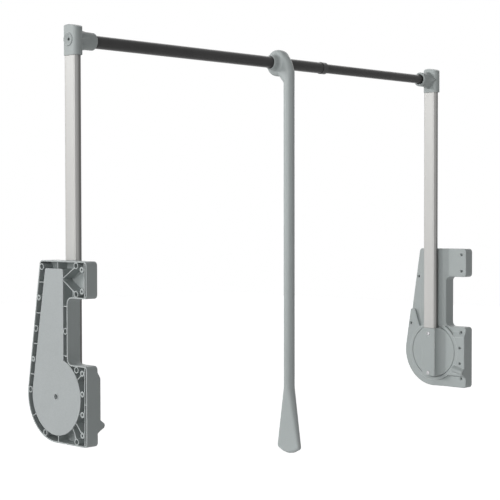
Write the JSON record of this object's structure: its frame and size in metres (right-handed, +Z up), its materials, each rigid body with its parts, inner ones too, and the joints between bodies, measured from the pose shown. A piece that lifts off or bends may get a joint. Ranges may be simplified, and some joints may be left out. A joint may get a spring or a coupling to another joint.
{
  "type": "pull down closet rod",
  "caption": "Wardrobe lift: sprung wall units with long arms carry an adjustable hanging rod that a hinged pull handle swings forward and down.",
  "frame": {"origin": "the swing axis where it meets the left wall face", "axes": "+X along the rod from the left unit to the right unit, -Y forward out of the wardrobe, +Z up"},
  "size_m": [1.204, 0.1795, 0.8785],
  "materials": {
    "housing_plastic": "mid grey moulded plastic, satin",
    "cover_plastic": "lighter grey moulded plastic, fine texture",
    "handle_plastic": "mid grey moulded plastic, satin",
    "black_plastic": "black acetal, matt",
    "collar_black": "black moulded plastic, semi-gloss",
    "rod_black": "black gloss coating on steel tube",
    "arm_aluminium": "drawn and anodised, fine lengthwise lines",
    "screw_steel": "bright zinc-plated steel",
    "steel": "turned steel",
    "spring_steel": "oiled spring steel",
    "zinc": "die-cast zinc, bare"
  },
  "bodies": {
    "left_unit": {"left_housing": "housing_plastic", "left_cover": "cover_plastic", "left_pivot_bush": "black_plastic", "left_spring_seat": "zinc", "left_spring": "spring_steel", "left_damper_cylinder": "black_plastic"},
    "left_drive": {"left_carriage": "zinc", "left_tie_rod": "steel", "left_tie_nut": "steel", "left_spring_cap": "black_plastic", "left_damper_rod": "steel"},
    "left_frame": {"left_hub": "housing_plastic", "left_thrust_ring": "black_plastic", "left_crank_pin": "steel", "left_crank_roller": "black_plastic", "left_arm": "arm_aluminium", "left_arm_screws": "screw_steel", "left_connector": "housing_plastic", "left_connector_screws": "screw_steel", "outer_rod_tube": "rod_black", "rod_end_collar": "collar_black"},
    "right_frame": {"right_hub": "housing_plastic", "right_thrust_ring": "black_plastic", "right_crank_pin": "steel", "right_crank_roller": "black_plastic", "right_arm": "arm_aluminium", "right_arm_screws": "screw_steel", "right_connector": "housing_plastic", "right_connector_screws": "screw_steel", "inner_rod_tube": "rod_black", "rod_guide_plug": "black_plastic", "rod_adapter": "collar_black"},
    "right_unit": {"right_housing": "housing_plastic", "right_cover": "cover_plastic", "right_pivot_bush": "black_plastic", "right_spring_seat": "zinc", "right_spring": "spring_steel", "right_damper_cylinder": "black_plastic"},
    "right_drive": {"right_carriage": "zinc", "right_tie_rod": "steel", "right_tie_nut": "steel", "right_spring_cap": "black_plastic", "right_damper_rod": "steel"},
    "handle_slider": {"handle_liner": "black_plastic"},
    "handle": {"pull_handle": "handle_plastic"}
  },
  "joints": [
    {"name": "swing", "type": "hinge", "parent": "left_unit", "child": "left_frame", "pos_m": [0, 0, 0], "axis": [1, 0, 0], "range_deg": [0, 105], "stiffness_Nm_per_rad": 12, "springref_deg": -57.3},
    {"name": "width_adjust", "type": "slide", "parent": "left_frame", "child": "right_frame", "axis": [1, 0, 0], "range_m": [-0.345, 0]},
    {"name": "right_pivot", "type": "hinge", "parent": "right_frame", "child": "right_unit", "pos_m": [1.204, 0, 0], "axis": [1, 0, 0], "range_deg": [-105, 0]},
    {"name": "left_drive_slide", "type": "slide", "parent": "left_unit", "child": "left_drive", "axis": [0, 0, 1], "range_m": [-0.04765, 0], "deforming": ["left_spring"]},
    {"name": "right_drive_slide", "type": "slide", "parent": "right_unit", "child": "right_drive", "axis": [0, 0, 1], "range_m": [-0.04765, 0], "deforming": ["right_spring"]},
    {"name": "handle_slide", "type": "slide", "parent": "left_frame", "child": "handle_slider", "axis": [1, 0, 0], "range_m": [-0.486, 0.106]},
    {"name": "handle_swivel", "type": "hinge", "parent": "handle_slider", "child": "handle", "pos_m": [0.61, 0, 0.67], "axis": [1, 0, 0], "continuous": true}
  ],
  "couplings": [
    {"joint": "right_pivot", "follows": "swing", "ratio": -1},
    {"joint": "left_drive_slide", "follows": "swing", "m_per_rad": -0.025975},
    {"joint": "right_drive_slide", "follows": "swing", "m_per_rad": -0.025975}
  ]
}
